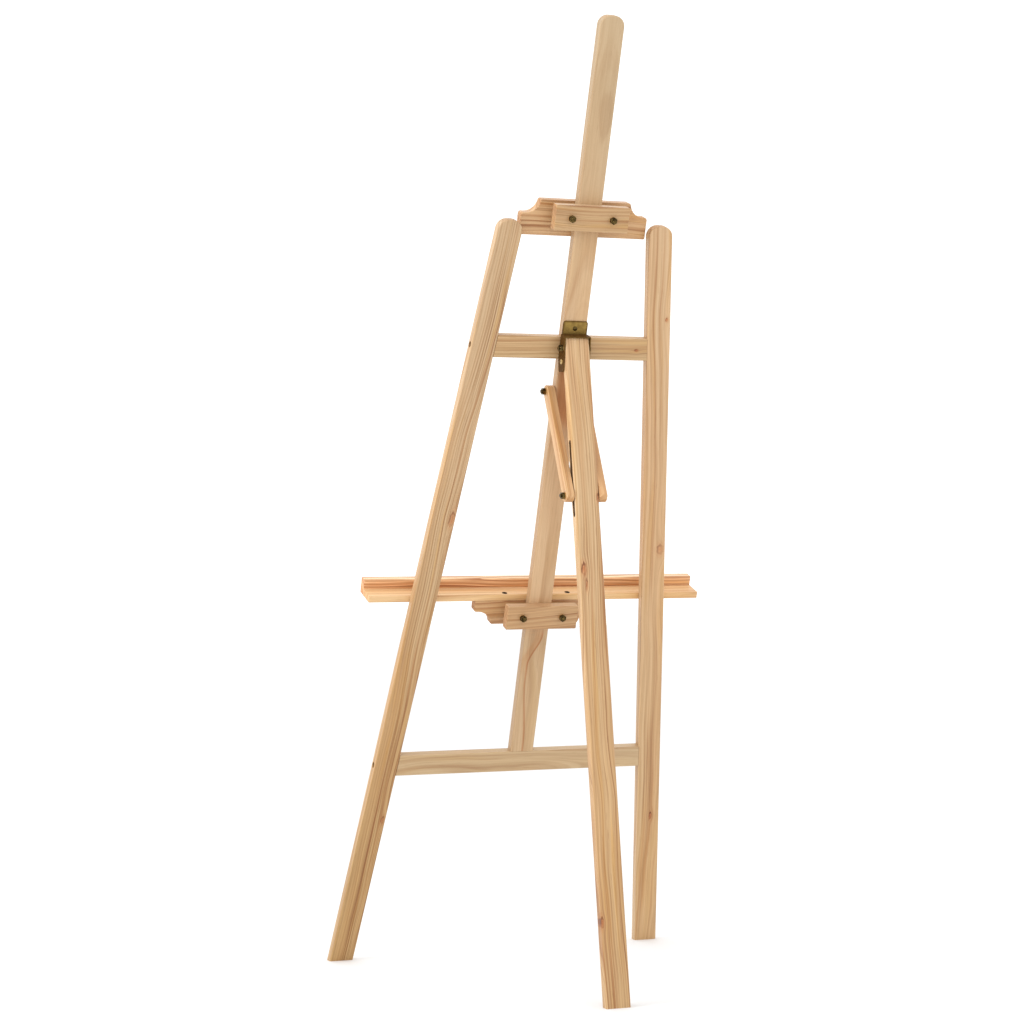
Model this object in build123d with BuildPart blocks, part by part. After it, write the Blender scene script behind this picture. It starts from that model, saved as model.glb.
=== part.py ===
from build123d import *
import math
import os

# Display easel: an A-shaped front frame with a central mast, a hinged rear leg held by a
# folding twin-link stay, a canvas tray and a top canvas clamp that both slide on the mast.
# Millimetres.  +Z up, floor at Z = 0, the canvas side faces -Y, the rear leg stands at +Y.

# Stance
lean = 19.8
open_angle = 28.4
frame_foot_y = -260.735

# Timber stock
stock_width = 40.0
stock_thickness = 16.0
edge_round = 2.0
top_round = 16.0
leg_round = 17.0

# Front legs, in the plane of the front frame
foot_spread = 278.0
leg_taper = 0.12067
leg_top = 1272.0

# Rails and mast, heights measured along the mast from the floor line
rail_height = 36.0
lower_rail_base = 338.0
upper_rail_base = 1053.5
mast_top = 1591.3
lap_depth = 8.0

# Rail screws
screw_radius = 2.0
screw_head_radius = 4.2
screw_length = 50.0
counterbore_radius = 4.8
counterbore_depth = 4.5

# Hinge bracket and rear leg pivot
pivot_height = 1075.2
pivot_back = 14.8
sheet = 1.6
flange_width = 41.6
flange_top = 1116.0
web_base = 1093.0
ear_gap = 20.6
ear_top_depth = 18.0
ear_low_depth = 29.0
ear_bottom = 1035.0
eyelet_height = 1053.8
eyelet_back = 16.5
eyelet_radius = 2.4
hinge_screw_height = 1104.0
pan_screw_radius = 1.75
fit = 0.02
running = 0.06
leg_above_pivot = 15.6
slot_near = 151.0
slot_far = 265.0
slot_width = 7.8
rear_leg_cut = 1100.0

# Stay
stay_height = 998.3
stay_back = -5.2
link_length = 185.2
link_width = 20.0
link_thickness = 13.0
link_inner = 21.1
stay_gap = 0.15

# M6 hardware
bolt_radius = 3.0
head_radius = 6.4
head_height = 3.2
washer_radius = 5.4
washer_thickness = 1.2
nut_flats = 10.0
nut_height = 5.0
bolt_tip = 2.0

# Canvas clamps
clamp_gap = 0.3
board_shoulder = 21.6
cove_radius = 23.0
plate_height = 40.0
bolt_spacing = 68.6
top_board_base = 1247.0
top_board_top = 1303.4
top_board_half = 106.0
top_plate_base = 1262.2
plate_half = 61.5
top_bolt_height = 1281.8

# Tray
tray_half = 288.0
tray_depth = 34.1
tray_thickness = 11.0
tray_top = 649.1
tray_gap = 0.5
lip_height = 26.3
lip_thickness = 16.0
bracket_base = 597.5
bracket_half = 107.5
tray_plate_base = 600.2
tray_bolt_height = 620.5
tray_screw_x = 55.0
tray_screw_length = 36.0

sin_lean = math.sin(math.radians(lean))
cos_lean = math.cos(math.radians(lean))
splay = math.degrees(math.atan(leg_taper))
leg_tilt = open_angle - lean

# Local axes of the front frame: X across, Y up along the mast, Z towards the canvas side
frame_plane = Plane(
    origin=(0, frame_foot_y, 0),
    x_dir=(1, 0, 0),
    z_dir=(0, -cos_lean, sin_lean),
)


def frame_point(x, up, back):
    return frame_plane.from_local_coords(Vector(x, up, -back))


def side_plane(x):
    """Sketch plane facing +X: local X runs backwards from the frame, local Y up the mast."""
    return Plane(
        origin=frame_point(x, 0, 0),
        x_dir=(0, cos_lean, -sin_lean),
        z_dir=(1, 0, 0),
    )


def back_plane(back):
    """Plane parallel to the frame, set back from its rear face, facing the canvas side."""
    return frame_plane.offset(-back)


pivot_point = frame_point(0, pivot_height, pivot_back)
tilt = math.radians(leg_tilt)
rear_plane = Plane(
    origin=pivot_point,
    x_dir=(1, 0, 0),
    z_dir=(0, -math.cos(tilt), -math.sin(tilt)),
)

# Where the stay meets the rear leg
opened = math.radians(open_angle)
rise = pivot_height - stay_height
reach = pivot_back - stay_back
along = rise * math.cos(opened) - reach * math.sin(opened)
stay_on_leg = along + math.sqrt(along**2 + link_length**2 - rise**2 - reach**2)
stay_low_back = pivot_back + stay_on_leg * math.sin(opened)
stay_low_height = pivot_height - stay_on_leg * math.cos(opened)
link_angle = math.degrees(
    math.atan2(stay_low_height - stay_height, stay_low_back - stay_back)
)


def leg_inner_x(up):
    """Half the clear width between the front legs at a height along the mast."""
    return foot_spread - leg_taper * up - stock_width / 2 / math.cos(math.radians(splay))


def leg_outer_x(up):
    return foot_spread - leg_taper * up + stock_width / 2 / math.cos(math.radians(splay))


# ---------------------------------------------------------------- fasteners


def wood_screw(length, radius, head):
    """Countersunk cross-head screw, head flush with Z = 0, pointing down -Z."""
    cone = head - radius
    with BuildPart() as screw:
        with BuildSketch(Plane.XZ):
            with BuildLine():
                Polyline(
                    (0, 0),
                    (head, 0),
                    (head, -0.5),
                    (radius, -0.5 - cone),
                    (radius, -length + 2 * radius),
                    (0, -length),
                    close=True,
                )
            make_face()
        revolve(axis=Axis.Z)
        with BuildSketch(Plane.XY):
            Rectangle(head * 1.1, head * 0.26)
            Rectangle(head * 0.26, head * 1.1)
        extrude(amount=-head * 0.4, mode=Mode.SUBTRACT)
    return screw


def dome(rim, low, high):
    """Arc from a rim up to the crown on the axis of revolution."""
    rise_of_dome = high - low
    sphere = (rim**2 + rise_of_dome**2) / (2 * rise_of_dome)
    half = math.asin(rim / sphere) / 2
    middle = (sphere * math.sin(half), high - sphere + sphere * math.cos(half))
    return ThreePointArc((rim, low), middle, (0, high))


def domed_bolt(length):
    """Domed-head bolt, underside of the head at Z = 0, shank along -Z."""
    with BuildPart() as bolt:
        with BuildSketch(Plane.XZ):
            with BuildLine():
                Line((0, head_height), (0, -length))
                Line((0, -length), (bolt_radius - 0.6, -length))
                Line((bolt_radius - 0.6, -length), (bolt_radius, -length + 0.8))
                Line((bolt_radius, -length + 0.8), (bolt_radius, 0))
                Line((bolt_radius, 0), (head_radius, 0))
                Line((head_radius, 0), (head_radius, 0.7))
                dome(head_radius, 0.7, head_height)
            make_face()
        revolve(axis=Axis.Z)
    return bolt


def washer():
    """Flat washer lying on Z = 0."""
    with BuildPart() as ring:
        with BuildSketch(Plane.XY):
            Circle(washer_radius)
            Circle(bolt_radius + 0.05, mode=Mode.SUBTRACT)
        extrude(amount=washer_thickness)
        rims = ring.edges().filter_by(GeomType.CIRCLE).group_by(SortBy.RADIUS)[-1]
    chamfer(rims, 0.3)
    return ring


def hex_nut():
    """Hexagon nut standing on Z = 0 with chamfered corners."""
    corner = nut_flats / 2 / math.cos(math.radians(30))
    with BuildPart() as nut:
        with BuildSketch(Plane.XY):
            RegularPolygon(radius=corner, side_count=6, rotation=30)
            Circle(bolt_radius + 0.02, mode=Mode.SUBTRACT)
        extrude(amount=nut_height)
        with BuildSketch(Plane.XZ):
            with BuildLine():
                Polyline(
                    (0, 0),
                    (corner - 0.7, 0),
                    (corner, 0.5),
                    (corner, nut_height - 0.5),
                    (corner - 0.7, nut_height),
                    (0, nut_height),
                    close=True,
                )
            make_face()
        revolve(axis=Axis.Z, mode=Mode.INTERSECT)
    return nut


def place_all(piece, planes):
    """One node holding a copy of a piece on each plane."""
    with BuildPart() as group:
        with Locations(*planes):
            add(piece.part)
    return group


def outward(x, up, back):
    """Plane on the frame's side at a point, facing away from the centre."""
    return Plane(origin=frame_point(x, up, back), x_dir=(0, 0, 1), z_dir=(math.copysign(1, x), 0, 0))


def facing_back(x, up, back):
    return Plane(
        origin=frame_point(x, up, back), x_dir=(1, 0, 0), z_dir=(0, cos_lean, -sin_lean)
    )


def facing_front(x, up, back):
    return Plane(
        origin=frame_point(x, up, back), x_dir=(1, 0, 0), z_dir=(0, -cos_lean, sin_lean)
    )


def facing_down(x, up, back):
    return Plane(
        origin=frame_point(x, up, back), x_dir=(1, 0, 0), z_dir=(0, -sin_lean, -cos_lean)
    )


def facing_up(x, up, back):
    return Plane(
        origin=frame_point(x, up, back), x_dir=(1, 0, 0), z_dir=(0, sin_lean, cos_lean)
    )


# ---------------------------------------------------------------- front frame

lower_rail_mid = lower_rail_base + rail_height / 2
upper_rail_mid = upper_rail_base + rail_height / 2
mid_stock = -stock_thickness / 2


def leg_screw_x(up):
    """Depth at which a rail screw's head sits, measured across the frame."""
    return leg_outer_x(up) - counterbore_depth


def front_leg(side):
    """One front leg: rounded top cut parallel to the rails, foot cut level, screw pockets."""
    below = -40.0
    with BuildPart() as leg:
        with BuildSketch(frame_plane):
            with BuildLine():
                Polyline(
                    (side * leg_inner_x(below), below),
                    (side * leg_outer_x(below), below),
                    (side * leg_outer_x(leg_top), leg_top),
                    (side * leg_inner_x(leg_top), leg_top),
                    close=True,
                )
            make_face()
            top = vertices().sort_by(Axis.Y)[-2:]
            fillet(top, leg_round)
        extrude(amount=stock_thickness)
        fillet(leg.edges().group_by(SortBy.LENGTH)[-1], edge_round)
        split(bisect_by=Plane.XY, keep=Keep.TOP)
        for up in (lower_rail_mid, upper_rail_mid):
            with BuildSketch(outward(side * leg_screw_x(up), up, mid_stock)):
                Circle(counterbore_radius)
            extrude(amount=counterbore_depth * 2, mode=Mode.SUBTRACT)
            with BuildSketch(outward(side * leg_screw_x(up), up, mid_stock)):
                Circle(screw_head_radius + 0.55)
            extrude(amount=-2.7, taper=45, mode=Mode.SUBTRACT)
            with BuildSketch(outward(side * leg_screw_x(up), up, mid_stock)):
                Circle(screw_radius + 0.1)
            extrude(amount=-stock_width * 1.5, mode=Mode.SUBTRACT)
    return leg


def rail(base):
    """A cross rail butted between the legs, its rear face flush with theirs."""
    top = base + rail_height
    with BuildPart() as bar:
        with BuildSketch(frame_plane):
            with BuildLine():
                Polyline(
                    (-leg_inner_x(base), base),
                    (leg_inner_x(base), base),
                    (leg_inner_x(top), top),
                    (-leg_inner_x(top), top),
                    close=True,
                )
            make_face()
        extrude(amount=stock_thickness)
        fillet(bar.edges().filter_by(Axis.X), edge_round * 0.75)
        middle = base + rail_height / 2
        for side in (-1, 1):
            with BuildSketch(outward(side * leg_outer_x(middle), middle, mid_stock)):
                Circle(screw_radius + fit)
            extrude(amount=-screw_length - counterbore_depth - 0.5, mode=Mode.SUBTRACT)
    return bar


front_leg_left = front_leg(1)
front_leg_right = front_leg(-1)

with BuildPart() as upper_rail:
    add(rail(upper_rail_base).part)
    with Locations(frame_plane):
        with Locations((0, upper_rail_mid, lap_depth / 2)):
            Box(stock_width, rail_height + 2, lap_depth, mode=Mode.SUBTRACT)

foot_screw_x = 11.0
foot_screw_depth = 6.0
foot_screw_length = 58.0
with BuildPart() as lower_rail:
    add(rail(lower_rail_base).part)
    for x in (-foot_screw_x, foot_screw_x):
        with BuildSketch(facing_down(x, lower_rail_base + foot_screw_depth, mid_stock)):
            Circle(counterbore_radius)
        extrude(amount=foot_screw_depth + 1, mode=Mode.SUBTRACT)
        with BuildSketch(facing_down(x, lower_rail_base + foot_screw_depth, mid_stock)):
            Circle(screw_head_radius + 0.55)
        extrude(amount=-2.7, taper=45, mode=Mode.SUBTRACT)
        with BuildSketch(facing_down(x, lower_rail_base + foot_screw_depth, mid_stock)):
            Circle(screw_radius + 0.1)
        extrude(amount=-rail_height, mode=Mode.SUBTRACT)

mast_base = lower_rail_base + rail_height
with BuildPart() as mast:
    with BuildSketch(frame_plane):
        with Locations((0, (mast_base + mast_top) / 2)):
            Rectangle(stock_width, mast_top - mast_base)
        fillet(vertices().sort_by(Axis.Y)[-2:], top_round)
    extrude(amount=stock_thickness)
    fillet(mast.edges().group_by(SortBy.LENGTH)[-1], edge_round)
    with Locations(frame_plane):
        with Locations((0, upper_rail_mid, lap_depth + lap_depth / 2)):
            Box(stock_width + 2, rail_height, lap_depth, mode=Mode.SUBTRACT)
    with BuildSketch(side_plane(-stock_width)):
        with Locations((stay_back, stay_height)):
            Circle(bolt_radius + fit)
    extrude(amount=stock_width * 2, mode=Mode.SUBTRACT)
    with BuildSketch(back_plane(0)):
        with Locations((0, hinge_screw_height)):
            Circle(pan_screw_radius + fit)
    extrude(amount=12.5, mode=Mode.SUBTRACT)
    for x in (-foot_screw_x, foot_screw_x):
        with BuildSketch(facing_down(x, mast_base, mid_stock)):
            Circle(screw_radius + fit)
        extrude(amount=-foot_screw_length, mode=Mode.SUBTRACT)

rail_screw = wood_screw(screw_length, screw_radius, screw_head_radius)
rail_screws = place_all(
    rail_screw,
    [
        outward(side * leg_screw_x(up), up, mid_stock)
        for side in (-1, 1)
        for up in (lower_rail_mid, upper_rail_mid)
    ],
)

foot_screw = wood_screw(foot_screw_length, screw_radius, screw_head_radius)
mast_foot_screws = place_all(
    foot_screw,
    [
        facing_down(x, lower_rail_base + foot_screw_depth, mid_stock)
        for x in (-foot_screw_x, foot_screw_x)
    ],
)

# ---------------------------------------------------------------- hinge

with BuildPart() as hinge_bracket:
    with BuildSketch(back_plane(sheet)):
        with Locations((0, (web_base + flange_top) / 2)):
            Rectangle(flange_width, flange_top - web_base)
        fillet(vertices().sort_by(Axis.Y)[-2:], 4.5)
        with Locations((0, hinge_screw_height)):
            Circle(pan_screw_radius + fit, mode=Mode.SUBTRACT)
    extrude(amount=sheet)
    with Locations(frame_plane):
        with Locations((0, web_base + sheet / 2, -ear_top_depth / 2)):
            Box(2 * (ear_gap + sheet), sheet, ear_top_depth)
    for x in (ear_gap, -ear_gap - sheet):
        with BuildSketch(side_plane(x)):
            with BuildLine():
                Polyline(
                    (0.6, web_base + sheet),
                    (ear_top_depth, web_base + sheet),
                    (ear_low_depth, ear_bottom + 5),
                    (9.5, ear_bottom),
                    (3.5, ear_bottom + 14),
                    (0.6, ear_bottom + 26),
                    close=True,
                )
            make_face()
            fillet(vertices().sort_by(Axis.Y)[:2], 5.0)
            with Locations((pivot_back, pivot_height)):
                Circle(bolt_radius + fit, mode=Mode.SUBTRACT)
            with Locations((eyelet_back, eyelet_height)):
                Circle(eyelet_radius + fit, mode=Mode.SUBTRACT)
        extrude(amount=sheet)
    bends = hinge_bracket.edges().filter_by(Axis(pivot_point, frame_plane.z_dir))
    outer_bends = bends.group_by(Axis.X)
    fillet([outer_bends[0].sort_by(Axis.Z)[-1], outer_bends[-1].sort_by(Axis.Z)[-1]], 1.0)

with BuildPart() as pan_screw:
    with BuildSketch(Plane.XZ):
        with BuildLine():
            Line((0, 1.9), (0, -12))
            Line((0, -12), (pan_screw_radius, -9))
            Line((pan_screw_radius, -9), (pan_screw_radius, 0))
            Line((pan_screw_radius, 0), (3.7, 0))
            Line((3.7, 0), (3.7, 0.5))
            dome(3.7, 0.5, 1.9)
        make_face()
    revolve(axis=Axis.Z)
    with BuildSketch(Plane.XY.offset(1.9)):
        Rectangle(3.8, 0.8)
        Rectangle(0.8, 3.8)
    extrude(amount=-1.1, mode=Mode.SUBTRACT)
hinge_screw = place_all(pan_screw, [facing_back(0, hinge_screw_height, sheet)])

ear_outer = ear_gap + sheet
pivot_length = 2 * ear_outer + washer_thickness + nut_height + bolt_tip
flat_washer = washer()
plain_nut = hex_nut()
hinge_pivot_bolt = place_all(
    domed_bolt(pivot_length), [outward(-ear_outer, pivot_height, pivot_back)]
)
hinge_pivot_washer = place_all(flat_washer, [outward(ear_outer, pivot_height, pivot_back)])
hinge_pivot_nut = place_all(
    plain_nut, [outward(ear_outer + washer_thickness, pivot_height, pivot_back)]
)

with BuildPart() as eyelet:
    with BuildSketch(Plane.XZ):
        with BuildLine():
            Polyline(
                (1.4, -sheet - 0.25),
                (eyelet_radius, -sheet - 0.25),
                (eyelet_radius, 0),
                (4.4, 0),
                (4.4, 0.5),
                (3.9, 1.0),
                (1.4, 1.0),
                close=True,
            )
        make_face()
    revolve(axis=Axis.Z)
hinge_eyelets = place_all(
    eyelet,
    [outward(side * ear_outer, eyelet_height, eyelet_back) for side in (-1, 1)],
)

# ---------------------------------------------------------------- rear leg

with BuildPart() as rear_leg:
    with BuildSketch(rear_plane.offset(-stock_thickness / 2)):
        with Locations((0, (leg_above_pivot - rear_leg_cut) / 2)):
            Rectangle(stock_width, rear_leg_cut + leg_above_pivot)
    extrude(amount=stock_thickness)
    fillet(rear_leg.edges().group_by(SortBy.LENGTH)[-1], edge_round)
    fillet(rear_leg.faces().sort_by(Axis.Z)[-1].edges().filter_by(Axis.X), 1.2)
    split(bisect_by=Plane.XY, keep=Keep.TOP)
    leg_side = Plane(
        origin=pivot_point - Vector(stock_width, 0, 0),
        x_dir=(0, math.cos(tilt), math.sin(tilt)),
        z_dir=(1, 0, 0),
    )
    with BuildSketch(leg_side):
        Circle(bolt_radius + running)
        with Locations((0, -(slot_near + slot_far) / 2)):
            SlotCenterToCenter(slot_far - slot_near, slot_width, rotation=90)
    extrude(amount=stock_width * 2, mode=Mode.SUBTRACT)

# ---------------------------------------------------------------- stay


def stay_link(x):
    """A round-ended link between the mast bolt and the bolt riding in the rear leg."""
    with BuildPart() as link:
        with BuildSketch(side_plane(x)):
            middle = ((stay_back + stay_low_back) / 2, (stay_height + stay_low_height) / 2)
            with Locations(middle):
                SlotCenterToCenter(link_length, link_width, rotation=link_angle)
        extrude(amount=link_thickness)
        fillet(link.faces().filter_by(Axis.X).edges(), 1.2)
        with BuildSketch(side_plane(x)):
            with Locations((stay_back, stay_height)):
                Circle(bolt_radius + running)
            with Locations((stay_low_back, stay_low_height)):
                Circle(bolt_radius + fit)
        extrude(amount=link_thickness, mode=Mode.SUBTRACT)
    return link


link_outer = link_inner + link_thickness
stay_link_left = stay_link(link_inner)
stay_link_right = stay_link(-link_outer)

stay_bolt_length = 2 * link_outer + 2 * stay_gap + washer_thickness + nut_height + bolt_tip
stay_bolt = domed_bolt(stay_bolt_length)
under_head = link_outer + stay_gap
stay_upper_bolt = place_all(stay_bolt, [outward(-under_head, stay_height, stay_back)])
stay_upper_washer = place_all(flat_washer, [outward(under_head, stay_height, stay_back)])
stay_upper_nut = place_all(
    plain_nut, [outward(under_head + washer_thickness, stay_height, stay_back)]
)

lower_bolt = domed_bolt(stay_bolt_length - 2 * stay_gap)
stay_lower_bolt = place_all(
    lower_bolt, [outward(-link_outer, stay_low_height, stay_low_back)]
)
stay_lower_washer = place_all(
    flat_washer, [outward(link_outer, stay_low_height, stay_low_back)]
)
stay_lower_nut = place_all(
    plain_nut, [outward(link_outer + washer_thickness, stay_low_height, stay_low_back)]
)

# ---------------------------------------------------------------- clamps

board_back = -stock_thickness - clamp_gap
board_front = board_back - stock_thickness
plate_front = clamp_gap
plate_back = clamp_gap + stock_thickness
clamp_bolt_xs = (-bolt_spacing / 2, bolt_spacing / 2)


def shaped_board(half, flat_edge, shaped_edge, bolt_up):
    """Board in front of the mast with a cove cut from both ends of its shaped edge."""
    towards = math.copysign(1, shaped_edge - flat_edge)
    shoulder = shaped_edge - towards * board_shoulder
    cove_x = half - 7.5
    cove_centre = shoulder + towards * cove_radius
    diagonal = cove_radius * math.sqrt(0.5)
    run = math.sqrt(cove_radius**2 - (cove_centre - shaped_edge) ** 2)
    peak_x = cove_x - run
    with BuildPart() as board:
        with BuildSketch(back_plane(board_back)):
            with BuildLine():
                Line((0, flat_edge), (half, flat_edge))
                Line((half, flat_edge), (half, shoulder))
                Line((half, shoulder), (cove_x, shoulder))
                ThreePointArc(
                    (cove_x, shoulder),
                    (cove_x - diagonal, cove_centre - towards * diagonal),
                    (peak_x, shaped_edge),
                )
                Line((peak_x, shaped_edge), (0, shaped_edge))
                mirror(about=Plane.YZ)
            make_face()
            tips = vertices().group_by(Axis.X)
            fillet((tips[0] + tips[-1]).filter_by(lambda v: abs(v.Y - shoulder) < 0.01), 4.5)
            fillet(vertices().filter_by(lambda v: abs(v.Y - flat_edge) < 0.01), 2.0)
            fillet(vertices().filter_by(lambda v: abs(v.Y - shaped_edge) < 0.01), 4.0)
        extrude(amount=stock_thickness)
        broad = board.faces().filter_by(Axis(pivot_point, frame_plane.z_dir))
        fillet(broad.edges(), 1.2)
        with BuildSketch(back_plane(board_back)):
            for x in clamp_bolt_xs:
                with Locations((x, bolt_up)):
                    Circle(bolt_radius + fit)
        extrude(amount=stock_thickness, mode=Mode.SUBTRACT)
    return board


def clamp_plate(base, bolt_up):
    """Plain plate behind the mast, drawn against it by the two clamp bolts."""
    with BuildPart() as plate:
        with BuildSketch(back_plane(plate_back)):
            with Locations((0, base + plate_height / 2)):
                Rectangle(2 * plate_half, plate_height)
            fillet(vertices(), 2.0)
        extrude(amount=stock_thickness)
        broad = plate.faces().filter_by(Axis(pivot_point, frame_plane.z_dir))
        fillet(broad.edges(), 1.2)
        with BuildSketch(back_plane(plate_back)):
            for x in clamp_bolt_xs:
                with Locations((x, bolt_up)):
                    Circle(bolt_radius + fit)
        extrude(amount=stock_thickness, mode=Mode.SUBTRACT)
    return plate


def clamp_fasteners(up):
    """Bolts, washers and nuts of one clamp, as three pairs."""
    length = plate_back - board_front + washer_thickness + nut_height + bolt_tip
    bolts = place_all(
        domed_bolt(length), [facing_front(x, up, board_front) for x in clamp_bolt_xs]
    )
    washers = place_all(flat_washer, [facing_back(x, up, plate_back) for x in clamp_bolt_xs])
    nuts = place_all(
        plain_nut,
        [facing_back(x, up, plate_back + washer_thickness) for x in clamp_bolt_xs],
    )
    return bolts, washers, nuts


top_clamp_board = shaped_board(top_board_half, top_board_base, top_board_top, top_bolt_height)
top_clamp_plate = clamp_plate(top_plate_base, top_bolt_height)
top_clamp_bolts, top_clamp_washers, top_clamp_nuts = clamp_fasteners(top_bolt_height)

# ---------------------------------------------------------------- tray

tray_base = tray_top - tray_thickness
tray_back = -stock_thickness - tray_gap
tray_edge = tray_back - tray_depth
tray_screw_back = board_back - stock_thickness / 2

with BuildPart() as tray_bracket:
    add(shaped_board(bracket_half, tray_base, bracket_base, tray_bolt_height).part)
    for x in (-tray_screw_x, tray_screw_x):
        with BuildSketch(facing_up(x, tray_base, tray_screw_back)):
            Circle(screw_radius + fit)
        extrude(amount=tray_thickness - tray_screw_length - 0.5, mode=Mode.SUBTRACT)

with BuildPart() as tray_floor:
    with Locations(frame_plane):
        with Locations((0, tray_base + tray_thickness / 2, -tray_back + tray_depth / 2)):
            Box(2 * tray_half, tray_thickness, tray_depth)
    fillet(tray_floor.faces().sort_by(Axis.Y)[-1].edges().filter_by(Axis.X), 1.2)
    for x in (-tray_screw_x, tray_screw_x):
        with BuildSketch(facing_up(x, tray_top, tray_screw_back)):
            Circle(screw_head_radius + 0.55)
        extrude(amount=-2.7, taper=45, mode=Mode.SUBTRACT)
        with BuildSketch(facing_up(x, tray_top, tray_screw_back)):
            Circle(screw_radius + 0.1)
        extrude(amount=-tray_thickness, mode=Mode.SUBTRACT)

with BuildPart() as tray_lip:
    with Locations(frame_plane):
        with Locations((0, tray_base + lip_height / 2, -tray_edge + lip_thickness / 2)):
            Box(2 * tray_half, lip_height, lip_thickness)
    long_edges = tray_lip.edges().filter_by(Axis.X).sort_by(Axis((0, 0, 0), facing_up(0, 0, 0).z_dir))
    fillet(long_edges[-2:], 2.5)
    fillet(tray_lip.edges().filter_by(Axis.X).sort_by(Axis.Y)[0], 1.2)

tray_clamp_plate = clamp_plate(tray_plate_base, tray_bolt_height)
tray_clamp_bolts, tray_clamp_washers, tray_clamp_nuts = clamp_fasteners(tray_bolt_height)
tray_screws = place_all(
    wood_screw(tray_screw_length, screw_radius, screw_head_radius),
    [facing_up(x, tray_top, tray_screw_back) for x in (-tray_screw_x, tray_screw_x)],
)

# ---------------------------------------------------------------- export

pieces = {
    "front_leg_left": front_leg_left,
    "front_leg_right": front_leg_right,
    "upper_rail": upper_rail,
    "lower_rail": lower_rail,
    "mast": mast,
    "rail_screws": rail_screws,
    "mast_foot_screws": mast_foot_screws,
    "hinge_bracket": hinge_bracket,
    "hinge_screw": hinge_screw,
    "hinge_eyelets": hinge_eyelets,
    "hinge_pivot_bolt": hinge_pivot_bolt,
    "hinge_pivot_washer": hinge_pivot_washer,
    "hinge_pivot_nut": hinge_pivot_nut,
    "rear_leg": rear_leg,
    "stay_link_left": stay_link_left,
    "stay_link_right": stay_link_right,
    "stay_upper_bolt": stay_upper_bolt,
    "stay_upper_washer": stay_upper_washer,
    "stay_upper_nut": stay_upper_nut,
    "stay_lower_bolt": stay_lower_bolt,
    "stay_lower_washer": stay_lower_washer,
    "stay_lower_nut": stay_lower_nut,
    "top_clamp_board": top_clamp_board,
    "top_clamp_plate": top_clamp_plate,
    "top_clamp_bolts": top_clamp_bolts,
    "top_clamp_washers": top_clamp_washers,
    "top_clamp_nuts": top_clamp_nuts,
    "tray_floor": tray_floor,
    "tray_lip": tray_lip,
    "tray_bracket": tray_bracket,
    "tray_clamp_plate": tray_clamp_plate,
    "tray_clamp_bolts": tray_clamp_bolts,
    "tray_clamp_washers": tray_clamp_washers,
    "tray_clamp_nuts": tray_clamp_nuts,
    "tray_screws": tray_screws,
}

os.makedirs("parts", exist_ok=True)
for name, piece in pieces.items():
    piece.part.label = name
    export_step(piece.part, f"parts/{name}.step")
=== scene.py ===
import math

import bpy
from mathutils import Matrix, Vector

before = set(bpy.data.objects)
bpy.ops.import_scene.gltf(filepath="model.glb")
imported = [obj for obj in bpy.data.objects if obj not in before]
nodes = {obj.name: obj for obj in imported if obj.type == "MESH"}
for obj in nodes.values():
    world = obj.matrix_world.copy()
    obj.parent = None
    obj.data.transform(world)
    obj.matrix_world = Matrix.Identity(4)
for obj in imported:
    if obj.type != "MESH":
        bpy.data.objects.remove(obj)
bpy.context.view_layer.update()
scene = bpy.context.scene

# ------------------------------------------------------------------ stance (metres)

LEAN = math.radians(19.8)
LEG_TILT = math.radians(8.6)
SPLAY = math.atan(0.12067)
FOOT_SPREAD = 0.278
FOOT_Y = -0.260735
X = Vector((1, 0, 0))
UP = Vector((0, math.sin(LEAN), math.cos(LEAN)))
BACK = Vector((0, math.cos(LEAN), -math.sin(LEAN)))


def at(x, up, back):
    """A point given across the frame, along the mast and behind the frame's rear face."""
    return Vector((x, FOOT_Y, 0)) + UP * up + BACK * back


# rear leg pivot and the two ends of the stay
PIVOT = at(0, 1.0752, 0.0148)
LEG_UP = Vector((0, -math.sin(LEG_TILT), math.cos(LEG_TILT)))
STAY_TOP = at(0, 0.9983, -0.0052)
STAY_ON_LEG = 0.23523
STAY_LOW = PIVOT - LEG_UP * STAY_ON_LEG
LINK = (STAY_TOP - STAY_LOW).normalized()

# ------------------------------------------------------------------ node helpers


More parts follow.
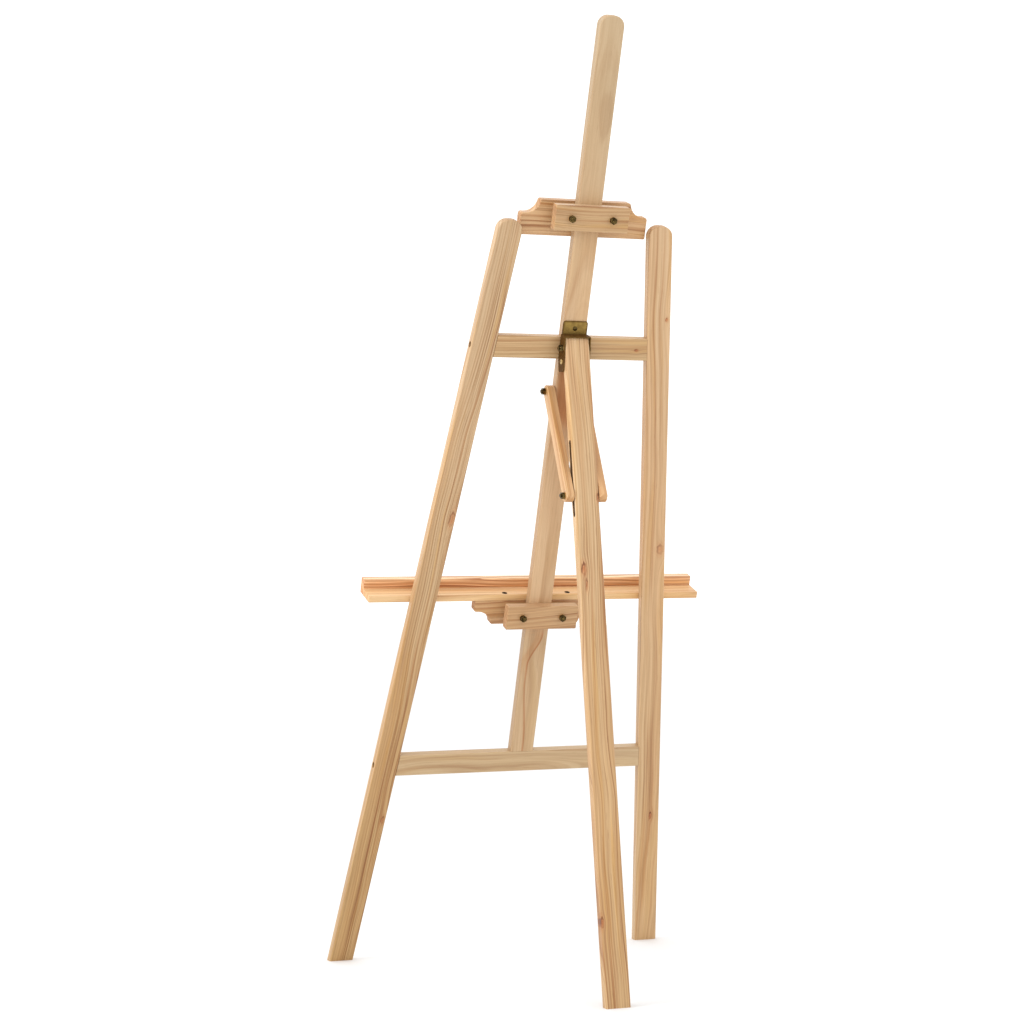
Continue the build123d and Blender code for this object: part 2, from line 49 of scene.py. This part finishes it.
class Tree:
    """Short calls for building a node tree."""

    def __init__(self, tree):
        self.tree = tree

    def node(self, kind, **settings):
        made = self.tree.nodes.new(kind)
        for key, value in settings.items():
            setattr(made, key, value)
        return made

    def feed(self, socket, value):
        if isinstance(value, bpy.types.NodeSocket):
            self.tree.links.new(value, socket)
        elif value is not None:
            socket.default_value = value

    def math(self, operation, a, b=None, c=None, clamp=False):
        made = self.node("ShaderNodeMath", operation=operation, use_clamp=clamp)
        for socket, value in zip(made.inputs, (a, b, c)):
            self.feed(socket, value)
        return made.outputs[0]

    def vector(self, operation, a, b=None):
        made = self.node("ShaderNodeVectorMath", operation=operation)
        self.feed(made.inputs[0], a)
        if b is not None:
            self.feed(made.inputs[1], b)
        return made.outputs["Value" if operation in ("DOT_PRODUCT", "LENGTH") else "Vector"]

    def combine(self, x, y, z):
        made = self.node("ShaderNodeCombineXYZ")
        for socket, value in zip(made.inputs, (x, y, z)):
            self.feed(socket, value)
        return made.outputs[0]

    def noise(self, vector, scale, detail=2.0, roughness=0.5):
        made = self.node("ShaderNodeTexNoise")
        self.feed(made.inputs["Vector"], vector)
        made.inputs["Scale"].default_value = scale
        made.inputs["Detail"].default_value = detail
        made.inputs["Roughness"].default_value = roughness
        return made.outputs[0]

    def ramp(self, value, low, high, to_low=0.0, to_high=1.0, smooth=True):
        made = self.node("ShaderNodeMapRange")
        made.interpolation_type = "SMOOTHSTEP" if smooth else "LINEAR"
        for socket, v in zip(made.inputs, (value, low, high, to_low, to_high)):
            self.feed(socket, v)
        return made.outputs[0]

    def mix(self, factor, a, b, blend="MIX"):
        made = self.node("ShaderNodeMix", data_type="RGBA", blend_type=blend)
        self.feed(made.inputs[0], factor)
        self.feed(made.inputs[6], a)
        self.feed(made.inputs[7], b)
        return made.outputs[2]

    def stain_or_shade(self, tint, amount, shade):
        """Multiply a tint by a shade, by the given amount."""
        return self.mix(amount, tint, colour(*shade), "MULTIPLY")

    def scaled(self, vector, x, y, z):
        return self.vector("MULTIPLY", vector, (x, y, z))

    def bump(self, height, strength, distance):
        made = self.node("ShaderNodeBump")
        made.inputs["Strength"].default_value = strength
        made.inputs["Distance"].default_value = distance
        self.feed(made.inputs["Height"], height)
        return made.outputs[0]


def colour(r, g, b):
    return (r, g, b, 1.0)


def new_material(name):
    material = bpy.data.materials.new(name)
    material.use_nodes = True
    material.node_tree.nodes.clear()
    tree = Tree(material.node_tree)
    shader = tree.node("ShaderNodeBsdfPrincipled")
    out = tree.node("ShaderNodeOutputMaterial")
    tree.tree.links.new(shader.outputs[0], out.inputs[0])
    return material, tree, shader


# ------------------------------------------------------------------ pine


def knot_marks(t, a, l, seeded, radius, knots):
    """Bend the rings round each knot.

    Returns the bent rings and masks for each knot's halo, core, dark crescent and own rings.
    """
    halo = core = crescent = eyes = 0.0
    for across, along, size, stretch, depth in knots:
        da = t.math("SUBTRACT", a, across)
        dl = t.math("SUBTRACT", l, along)
        near = t.math(
            "ADD",
            t.math("POWER", t.math("DIVIDE", da, size * 2.6), 2.0),
            t.math("POWER", t.math("DIVIDE", dl, size * 5.5), 2.0),
        )
        swell = t.math("EXPONENT", t.math("MULTIPLY", near, -1.0))
        push = t.math("MULTIPLY_ADD", da, -0.55, size * 1.1)
        radius = t.math("MULTIPLY_ADD", swell, push, radius)
        reach = t.vector(
            "LENGTH",
            t.combine(t.math("DIVIDE", da, size), t.math("DIVIDE", dl, size * stretch), 0.0),
        )
        wobble = t.noise(t.scaled(seeded, 420.0, 160.0, 420.0), 1.0, 2.0, 0.5)
        reach = t.math("MULTIPLY_ADD", t.math("SUBTRACT", wobble, 0.5), 1.1, reach)
        side = t.math("DIVIDE", t.math("MULTIPLY_ADD", dl, 0.5, da), size)
        halo = t.math("MAXIMUM", halo, t.ramp(reach, 2.6, 0.6, 0.0, depth))
        core = t.math("MAXIMUM", core, t.ramp(reach, 1.15, 0.35, 0.0, depth))
        edge = t.math("MULTIPLY", t.ramp(reach, 0.45, 0.85), t.ramp(reach, 1.5, 1.0))
        edge = t.math("MULTIPLY", edge, t.ramp(side, -0.4, 0.9, 0.15, depth))
        crescent = t.math("MAXIMUM", crescent, edge)
        wave = t.math("SINE", t.math("MULTIPLY", reach, 7.5))
        eyes = t.math("MAXIMUM", eyes, t.math("MULTIPLY", wave, t.ramp(reach, 2.3, 0.7, 0.0, depth)))
    return radius, halo, core, crescent, eyes


def slot_shade_mask(t, a, l, d, slot):
    """Mask of the inner walls of a slot through a 40 mm wide member, below the member's own zero, for
    painted shade.
    """
    start, stop, half = slot
    inside = t.math("MULTIPLY", t.ramp(l, -stop - 0.001, -stop), t.ramp(l, -start + 0.001, -start))
    inside = t.math("MULTIPLY", inside, t.ramp(t.math("ABSOLUTE", d), half + 0.0002, half))
    return t.math("MULTIPLY", inside, t.ramp(t.math("ABSOLUTE", a), 0.0199, 0.0192))


def heartwood(t, tint, a, l, wave, flame):
    """Tint the heartwood on one side of a curved line down the board, and the line itself.

    The line crosses the board between start and stop, and drifts back below start.
    """
    start, stop, near, far, line, heart, below = flame
    edge = t.ramp(l, start, stop, near, far)
    edge = t.math("ADD", edge, t.ramp(l, start - 0.145, start - 0.02, -0.011, 0.0))
    edge = t.math("MULTIPLY_ADD", t.math("SUBTRACT", wave, 0.5), 0.004, edge)
    gap = t.math("SUBTRACT", a, edge)
    under = t.ramp(l, stop + 0.02, stop - 0.01)
    seam = t.math("MULTIPLY", t.ramp(gap, -0.0014, 0.0003), t.ramp(gap, 0.0042, 0.0003))
    wing = t.math("MULTIPLY", t.ramp(gap, -0.0006, 0.0008), t.ramp(gap, 0.017, 0.009))
    wing = t.math("MULTIPLY", wing, t.ramp(l, start - 0.03, start + 0.03))
    tint = t.stain_or_shade(tint, under, below)
    tint = t.stain_or_shade(tint, t.math("MULTIPLY", wing, under), heart)
    return t.stain_or_shade(tint, t.math("MULTIPLY", seam, under), line)


def pine(
    name,
    origin,
    across,
    along,
    seed,
    pith=(0.09, 0.03),
    drift=(0.0, 0.0),
    ring=0.0042,
    contrast=1.0,
    low=(0.70, 0.68, 0.64),
    high=None,
    span=(0.1, 1.0),
    early=(0.66, 0.45, 0.262),
    late=(0.44, 0.245, 0.108),
    knots=(),
    streaks=1.0,
    glow=0.8,
    bias=None,
    slot=None,
    painted_shadow=None,
    painted_facing_light=None,
    flame=None,
):
    """Planed pine. Growth rings run round a pith line beside the board, so faces, edges and ends agree.

    pith: where that line lies, across and behind the board's axis; drift tilts it along the board.
    ring, contrast, early, late: spacing, strength and colours of the growth rings.
    low, high, span: tints of the two ends of a span along the board; a darker low end on the legs is
    painted shade.
    streaks, glow, bias: strength of the streaks and of the pale ones; bias is (from, to, strength,
    strength) for streaks that change across the board.
    knots: (across, along, radius, stretch, depth) each.
    slot: (start, end, half width) of an opening whose inner walls get painted shade.
    painted_shadow: (start, end, tint) of a painted shadow on a stretch along the middle of the board.
    painted_facing_light: painted light and shade, a tint of the faces turned to the across side.
    flame: edge of the heartwood, (start, end, across at start, across at end, line tint, heart tint,
    tint of the board below end).
    """
    material, t, shader = new_material(name)
    depth = across.cross(along)
    place = t.node("ShaderNodeTexCoord").outputs["Object"]
    offset = t.vector("SUBTRACT", place, tuple(origin))
    a = t.vector("DOT_PRODUCT", offset, tuple(across))
    l = t.vector("DOT_PRODUCT", offset, tuple(along))
    d = t.vector("DOT_PRODUCT", offset, tuple(depth))
    local = t.combine(a, l, d)
    seeded = t.vector("ADD", local, (seed * 1.37, seed * 2.11, seed * 0.73))

    # slow wander of the pith line along the board
    slow = t.noise(t.scaled(seeded, 3.0, 2.2, 3.0), 1.0, 2.0, 0.55)
    slow_2 = t.noise(t.scaled(seeded, 14.0, 5.0, 14.0), 1.0, 2.0, 0.5)
    shift = t.math("MULTIPLY", t.math("SUBTRACT", slow, 0.5), 0.03)
    shift_2 = t.math("MULTIPLY", t.math("SUBTRACT", slow_2, 0.5), 0.0052)
    pa = t.math("ADD", t.math("MULTIPLY_ADD", l, drift[0], pith[0]), a)
    pd = t.math("ADD", t.math("MULTIPLY_ADD", l, drift[1], pith[1]), d)
    radius = t.vector("LENGTH", t.combine(pa, pd, 0.0))
    radius = t.math("ADD", radius, t.math("ADD", shift, shift_2))
    radius, halo, core, crescent, eyes = knot_marks(t, a, l, seeded, radius, knots)

    # rings of uneven width, each with its own depth of colour
    uneven = t.noise(t.combine(t.math("MULTIPLY", radius, 55.0), seed * 3.1, 0.0), 1.0, 1.0)
    turns = t.math("MULTIPLY_ADD", uneven, 1.9, t.math("DIVIDE", radius, ring))
    part = t.math("FRACT", turns)
    whole = t.math("FLOOR", turns)
    each = t.node("ShaderNodeTexWhiteNoise", noise_dimensions="1D")
    t.feed(each.inputs["W"], t.math("ADD", whole, seed * 17.0))
    summer = t.math("MULTIPLY", t.ramp(part, 0.25, 0.86), t.ramp(part, 1.0, 0.93))
    summer = t.math("MULTIPLY", summer, t.ramp(each.outputs[0], 0.0, 1.0, 0.2, 1.0, False))
    fade = t.noise(t.scaled(seeded, 30.0, 3.0, 30.0), 1.0, 2.0)
    summer = t.math("MULTIPLY", summer, t.ramp(fade, 0.3, 0.7, 0.35, 1.0))
    summer = t.math("MULTIPLY", summer, contrast, clamp=True)
    tint = t.mix(summer, colour(*early), colour(*late))

    # strength of the streaks, in places stronger towards one edge
    force = streaks
    if bias:
        force = t.math("MULTIPLY", t.ramp(a, *bias), streaks)

    def grain(finer, longer, phase, detail=2.0, roughness=0.5):
        """Noise drawn out along the board that follows the rings across it."""
        spot = t.combine(t.math("MULTIPLY", radius, finer), t.math("MULTIPLY", l, longer), phase)
        return t.noise(spot, 1.0, detail, roughness)

    # broad heart and sap bands, long streaks, fibres and resin flecks
    band = grain(75.0, 0.6, seed)
    tint = t.stain_or_shade(tint, t.ramp(band, 0.35, 0.68, 0.0, 0.6), (0.92, 0.83, 0.73))
    wide = t.ramp(grain(240.0, 1.6, seed, 3.0, 0.6), 0.5, 0.70, 0.0, 0.85)
    tint = t.stain_or_shade(tint, t.math("MULTIPLY", wide, force, clamp=True), (0.74, 0.57, 0.43))
    fine = t.ramp(grain(430.0, 4.0, seed, 2.0, 0.6), 0.50, 0.70, 0.0, 0.75)
    tint = t.stain_or_shade(tint, t.math("MULTIPLY", fine, force, clamp=True), (0.68, 0.56, 0.45))
    pale = grain(190.0, 2.2, -seed)
    tint = t.stain_or_shade(tint, t.ramp(pale, 0.52, 0.70, 0.0, glow * streaks, False), (1.16, 1.20, 1.26))
    gold = grain(120.0, 3.0, seed + 9.0)
    tint = t.stain_or_shade(tint, t.ramp(gold, 0.5, 0.68, 0.0, 0.8 * streaks), (1.0, 0.93, 0.74))
    warm = t.noise(t.scaled(seeded, 9.0, 1.4, 9.0), 1.0, 2.0)
    tint = t.stain_or_shade(tint, t.ramp(warm, 0.35, 0.7, 0.0, 0.6), (1.03, 0.95, 0.86))
    fibre = t.noise(t.scaled(seeded, 520.0, 9.0, 520.0), 1.0, 3.0, 0.6)
    tint = t.stain_or_shade(tint, t.ramp(fibre, 0.36, 0.64, 0.0, 0.55), (0.86, 0.82, 0.77))
    fleck = t.noise(t.scaled(seeded, 900.0, 34.0, 900.0), 1.0, 1.0, 0.4)
    tint = t.stain_or_shade(tint, t.ramp(fleck, 0.69, 0.76, 0.0, 0.5), (0.62, 0.5, 0.38))
    if knots:
        tint = t.stain_or_shade(tint, t.math("MULTIPLY", halo, 0.7), (1.0, 0.74, 0.56))
        tint = t.stain_or_shade(tint, t.math("MULTIPLY", core, 0.7), (0.92, 0.60, 0.42))
        tint = t.stain_or_shade(tint, t.math("MULTIPLY", eyes, 0.6), (0.72, 0.47, 0.32))
        tint = t.stain_or_shade(tint, crescent, (0.40, 0.26, 0.17))

    # ends drink more light than faces
    facing = t.node("ShaderNodeTexCoord").outputs["Normal"]
    end = t.math("ABSOLUTE", t.vector("DOT_PRODUCT", facing, tuple(along)))
    end = t.ramp(end, 0.55, 0.9)
    tint = t.stain_or_shade(tint, t.math("MULTIPLY", end, 0.8), (0.86, 0.76, 0.66))

    # tint along the board; on the legs the darkening towards the floor is painted shade
    ends = t.mix(t.ramp(l, span[0], span[1]), colour(*low), colour(*(high or low)))
    tint = t.mix(1.0, tint, ends, "MULTIPLY")
    # painted shade on the slot's inner walls, where little light reaches
    if slot:
        tint = t.stain_or_shade(tint, t.math("MULTIPLY", slot_shade_mask(t, a, l, d, slot), 0.9), (0.16, 0.09, 0.05))
    # painted light and shade: faces turned to the across side are darker on the right leg and mast, lighter
    # on the tray lip's top edge
    if painted_facing_light:
        turned = t.vector("DOT_PRODUCT", facing, tuple(across))
        tint = t.stain_or_shade(tint, t.ramp(turned, 0.5, 0.9), painted_facing_light)
    # painted shadow: a darker stretch of the rear face where the stay, rear leg and hinge bracket shade the
    # mast
    if painted_shadow:
        start, stop, stain_or_shade = painted_shadow
        shadow_mask = t.math("MULTIPLY", t.ramp(l, start, start + 0.035), t.ramp(l, stop, stop - 0.02))
        shadow_mask = t.math("MULTIPLY", shadow_mask, t.ramp(t.math("ABSOLUTE", a), 0.021, 0.012))
        tint = t.stain_or_shade(tint, shadow_mask, stain_or_shade)
    if flame:
        tint = heartwood(t, tint, a, l, slow_2, flame)
    t.feed(shader.inputs["Base Color"], tint)

    rough = t.ramp(fibre, 0.3, 0.7, 0.40, 0.54, False)
    t.feed(shader.inputs["Roughness"], t.math("MULTIPLY_ADD", end, 0.2, rough))
    shader.inputs["Specular IOR Level"].default_value = 0.5
    shader.inputs["Sheen Weight"].default_value = 0.12
    shader.inputs["Sheen Roughness"].default_value = 0.45
    height = t.math("MULTIPLY_ADD", fibre, 0.5, t.math("MULTIPLY", summer, 0.35))
    height = t.math("MULTIPLY_ADD", fleck, 0.3, height)
    t.feed(shader.inputs["Normal"], t.bump(height, 0.28, 0.0005))
    return material


# patina and painted shade for the faces of the bracket turned from the light
PATINA_AND_SHADE = (0.068, 0.026, 0.006)


def plate_painted_shade(t, place, centre, half_width, top, rim_width=0.004):
    """Mask of everything on a bent plate but the middle of its open face, for patina and painted shade."""
    facing = t.node("ShaderNodeTexCoord").outputs["Normal"]
    open_face = t.ramp(t.vector("DOT_PRODUCT", facing, tuple(BACK)), 0.6, 0.9)
    offset = t.vector("SUBTRACT", place, tuple(centre))
    x = t.math("ABSOLUTE", t.vector("DOT_PRODUCT", offset, tuple(X)))
    y = t.vector("DOT_PRODUCT", offset, tuple(UP))
    side_rim = t.ramp(x, half_width - rim_width, half_width)
    rim = t.math("MAXIMUM", side_rim, t.ramp(y, top - rim_width, top))
    low_rim = t.ramp(y, -top + 0.003, -top - 0.001)
    rim = t.math("MULTIPLY", t.math("MAXIMUM", rim, low_rim), 0.8)
    return t.math("SUBTRACT", 1.0, t.math("MULTIPLY", open_face, t.math("SUBTRACT", 1.0, rim)))


def metal(name, tone, dark, roughness, scale=220.0, wear=0.5, plate=None):
    """Aged metal: patches of patina, fine scratches and small changes of gloss.

    plate gives the bright face of a bent plate, (centre, half width, top): every other face and a
    rim round that one take a dark tint that is patina and painted shade together.
    """
    material, t, shader = new_material(name)
    place = t.node("ShaderNodeTexCoord").outputs["Object"]
    patina = t.noise(place, scale, 4.0, 0.6)
    blotch = t.noise(place, scale * 0.25, 3.0, 0.5)
    tint = t.mix(t.ramp(patina, 0.35, 0.68, 0.0, wear), colour(*tone), colour(*dark))
    tint = t.stain_or_shade(tint, t.ramp(blotch, 0.4, 0.7, 0.0, 0.35), (0.72, 0.68, 0.62))
    if plate:
        # patina and painted shade: faces other than the open face, and its rim, are darkened
        shade = plate_painted_shade(t, place, *plate)
        tint = t.mix(t.math("MULTIPLY", shade, 0.9), tint, colour(*PATINA_AND_SHADE))
        t.feed(shader.inputs["Metallic"], t.ramp(shade, 0.0, 1.0, 1.0, 0.0, False))
        shader.inputs["Specular IOR Level"].default_value = 0.02
    else:
        shader.inputs["Metallic"].default_value = 1.0
    t.feed(shader.inputs["Base Color"], tint)
    scratch = t.noise(t.scaled(place, 900.0, 900.0, 5200.0), 1.0, 2.0)
    t.feed(shader.inputs["Roughness"], t.ramp(patina, 0.3, 0.7, roughness, roughness + 0.2, False))
    t.feed(shader.inputs["Normal"], t.bump(t.math("ADD", scratch, patina), 0.12, 0.0003))
    return material


def paint(node, material):
    mesh = nodes[node].data
    mesh.materials.clear()
    mesh.materials.append(material)


def leg_axes(side):
    along = UP * math.cos(SPLAY) - X * (side * math.sin(SPLAY))
    across = X * math.cos(SPLAY) + UP * (side * math.sin(SPLAY))
    return at(side * FOOT_SPREAD, 0, 0), across, along


# front frame
origin, across, along = leg_axes(1)
paint(
    "front_leg_left",
    pine("pine_left_leg", origin, across, along, 1.0, pith=(0.10, 0.035), ring=0.0042, contrast=1.35,
         bias=(-0.005, 0.008, 1.8, 0.45), low=(0.74, 0.69, 0.50), high=(0.90, 0.93, 0.93),
         streaks=1.1, glow=0.5,
         knots=((-0.0140, 0.792, 0.0036, 3.0, 0.7), (-0.0145, 0.262, 0.0026, 2.2, 0.6))),
)
origin, across, along = leg_axes(-1)
paint(
    "front_leg_right",
    pine("pine_right_leg", origin, across, along, 2.0, pith=(0.035, 0.06), drift=(0.02, 0.0), ring=0.006,
         contrast=1.0, low=(0.91, 0.90, 0.81), high=(0.98, 0.98, 0.96), streaks=0.8,
         # painted shade on the side turned to the light
         painted_facing_light=(0.88, 0.87, 0.85),
         knots=((-0.0133, 1.129, 0.0020, 1.3, 0.95), (-0.0107, 0.736, 0.0050, 1.5, 0.5),
                (-0.004, 0.244, 0.0022, 2.6, 0.9))),
)
paint(
    "mast",
    pine("pine_mast", at(0, 0, 0), X, UP, 3.0, pith=(0.03, 0.07), drift=(-0.02, 0.01), ring=0.007,
         contrast=0.6, streaks=0.5, low=(0.97, 1.00, 1.02), high=(0.86, 0.96, 1.02), span=(1.1, 1.5),
         # the mast gets a painted shadow under the hinge and painted shade on its side turned to the light
         painted_shadow=(0.925, 1.075, (0.86, 0.62, 0.45)), painted_facing_light=(0.78, 0.76, 0.73),
         flame=(0.529, 0.585, 0.0092, -0.0115, (0.78, 0.55, 0.39), (0.94, 0.80, 0.67), (0.86, 0.89, 0.90))),
)
paint(
    "upper_rail",
    pine("pine_upper_rail", at(0, 1.0715, 0), UP, X, 4.0, pith=(0.05, 0.03), ring=0.006, contrast=0.8,
         streaks=0.8, low=(0.87, 0.89, 0.81), knots=((-0.001, -0.1104, 0.0018, 1.4, 1.0),)),
)
paint(
    "lower_rail",
    pine("pine_lower_rail", at(0, 0.356, 0), UP, X, 5.0, pith=(0.02, 0.05), drift=(0.04, 0.0), ring=0.006,
         contrast=0.7, streaks=0.7, low=(0.83, 0.90, 0.91)),
)

# rear leg and stay
paint(
    "rear_leg",
    pine("pine_rear_leg", PIVOT, X, LEG_UP, 6.0, pith=(0.09, 0.02), ring=0.0048, contrast=1.4,
         low=(0.82, 0.79, 0.66), high=(0.93, 0.95, 0.91), span=(-1.0, -0.2), streaks=1.3,
         slot=(0.147, 0.269, 0.0039),
         knots=((0.0127, -0.352, 0.0034, 2.6, 0.9), (0.0095, -0.376, 0.0020, 4.0, 0.6),
                (-0.0185, -0.240, 0.0022, 3.0, 0.8), (0.0180, -0.891, 0.0022, 3.5, 0.8))),
)
for side, node in ((1, "stay_link_left"), (-1, "stay_link_right")):
    paint(
        node,
        pine("pine_" + node, STAY_LOW, LINK.cross(X), LINK, 7.0 + side, pith=(0.06, 0.05), ring=0.005,
             contrast=1.1, early=(0.70, 0.46, 0.27), late=(0.50, 0.27, 0.13), low=(0.98, 0.98, 0.86)),
    )

# clamps and tray
warm_early, warm_late = (0.70, 0.44, 0.262), (0.48, 0.235, 0.11)
paint(
    "top_clamp_board",
    pine("pine_top_board", at(0, 1.275, -0.024), UP, X, 10.0, pith=(0.05, 0.04), ring=0.0065, contrast=1.5,
         streaks=1.2, early=warm_early, late=warm_late, low=(0.92, 0.97, 0.87)),
)
paint(
    "top_clamp_plate",
    pine("pine_top_plate", at(0, 1.28, 0.008), UP, X, 11.0, pith=(0.06, 0.03), ring=0.006, contrast=1.4,
         streaks=1.2, early=warm_early, late=warm_late, low=(0.81, 0.88, 0.79)),
)
paint(
    "tray_bracket",
    pine("pine_bracket", at(0, 0.618, -0.024), UP, X, 12.0, pith=(0.04, 0.05), ring=0.006, contrast=1.3,
         early=warm_early, late=warm_late, low=(0.84, 0.85, 0.74)),
)
paint(
    "tray_clamp_plate",
    pine("pine_tray_plate", at(0, 0.62, 0.008), UP, X, 13.0, pith=(0.05, 0.04), drift=(0.1, 0.0),
         ring=0.006, contrast=1.3, early=warm_early, late=warm_late, low=(0.78, 0.80, 0.69)),
)
paint(
    "tray_floor",
    pine("pine_tray_floor", at(0, 0.6435, -0.033), BACK, X, 14.0, pith=(0.06, 0.02), ring=0.006,
         contrast=0.9, early=warm_early, late=warm_late, low=(1.13, 1.24, 1.12)),
)
paint(
    "tray_lip",
    pine("pine_tray_lip", at(0, 0.651, -0.056), UP, X, 15.0, pith=(0.04, 0.03), ring=0.0042, contrast=2.3,
         streaks=1.4, early=(0.66, 0.39, 0.22), late=(0.34, 0.125, 0.048), low=(1.25, 1.29, 1.21),
         # painted highlight on the lip's top edge
         painted_facing_light=(1.08, 1.30, 1.50)),
)

brass = metal("aged_brass", (0.155, 0.105, 0.035), (0.018, 0.011, 0.005), 0.16, wear=0.9)
pale_brass = metal("washer_brass", (0.58, 0.40, 0.15), (0.34, 0.21, 0.07), 0.34, wear=0.6)
bracket_brass = metal(
    "bracket_brass", (0.36, 0.235, 0.066), (0.20, 0.123, 0.038), 0.36, 150.0,
    plate=(at(0, 1.1053, 0.0016), 0.0208, 0.0107),
)
dark = metal("dark_steel", (0.022, 0.016, 0.012), (0.010, 0.007, 0.005), 0.5)
for name in nodes:
    if name in ("rail_screws", "mast_foot_screws", "tray_screws"):
        paint(name, dark)
    elif name == "hinge_bracket":
        paint(name, bracket_brass)
    elif name.endswith(("washer", "washers", "eyelets")):
        paint(name, pale_brass)
    elif name.endswith(("bolt", "bolts", "nut", "nuts")) or name == "hinge_screw":
        paint(name, brass)

for node in nodes.values():
    for face in node.data.polygons:
        face.use_smooth = True
    even = node.modifiers.new("weighted", "WEIGHTED_NORMAL")
    even.keep_sharp = True

# ------------------------------------------------------------------ floor, light, camera

FLOOR_HALF = 14
KEY_SIZE = 1.6
KEY_POWER = 45
KEY_DISTANCE = 3.4
KEY_DIRECTION = Vector((1.0, 0.12, 0.42))
STUDIO_WHITE = 1.28
CAMERA_AT = (1.36499, 3.51607, 0.70742)
FOCAL_LENGTH = 81.82

floor_mesh = bpy.data.meshes.new("floor")
corners = [(x * FLOOR_HALF, y * FLOOR_HALF, 0) for x, y in ((-1, -1), (1, -1), (1, 1), (-1, 1))]
floor_mesh.from_pydata(corners, [], [(0, 1, 2, 3)])
floor = bpy.data.objects.new("floor", floor_mesh)
scene.collection.objects.link(floor)
floor_material, _, shader = new_material("pale_floor")
shader.inputs["Base Color"].default_value = colour(0.8, 0.8, 0.8)
shader.inputs["Roughness"].default_value = 0.9
floor_mesh.materials.append(floor_material)

world = bpy.data.worlds.new("studio")
world.use_nodes = True
world.node_tree.nodes["Background"].inputs[0].default_value = colour(1.0, 1.0, 1.0)
world.node_tree.nodes["Background"].inputs[1].default_value = STUDIO_WHITE
scene.world = world

key_data = bpy.data.lights.new("key", "AREA")
key_data.shape = "DISK"
key_data.size = KEY_SIZE
key_data.energy = KEY_POWER
key = bpy.data.objects.new("key", key_data)
scene.collection.objects.link(key)
target = Vector((0, 0, 0.75))
key.location = target + KEY_DIRECTION.normalized() * KEY_DISTANCE
key.rotation_mode = "QUATERNION"
key.rotation_quaternion = (target - key.location).to_track_quat("-Z", "Y")

heading, dip, roll = math.radians(20.29), math.radians(-0.66), math.radians(-0.27)
look = Vector((-math.sin(heading) * math.cos(dip), -math.cos(heading) * math.cos(dip), -math.sin(dip)))
level = look.cross(Vector((0, 0, 1))).normalized()
upright = level.cross(look)
right = level * math.cos(roll) + upright * math.sin(roll)
above = upright * math.cos(roll) - level * math.sin(roll)
camera_data = bpy.data.cameras.new("camera")
camera_data.sensor_width = 36.0
camera_data.lens = FOCAL_LENGTH
camera_data.clip_end = 100
camera = bpy.data.objects.new("camera", camera_data)
scene.collection.objects.link(camera)
turn = Matrix((right, above, -look)).transposed().to_4x4()
camera.matrix_world = Matrix.Translation(CAMERA_AT) @ turn
scene.camera = camera
scene.view_settings.view_transform = "Standard"
scene.cycles.use_denoising = True
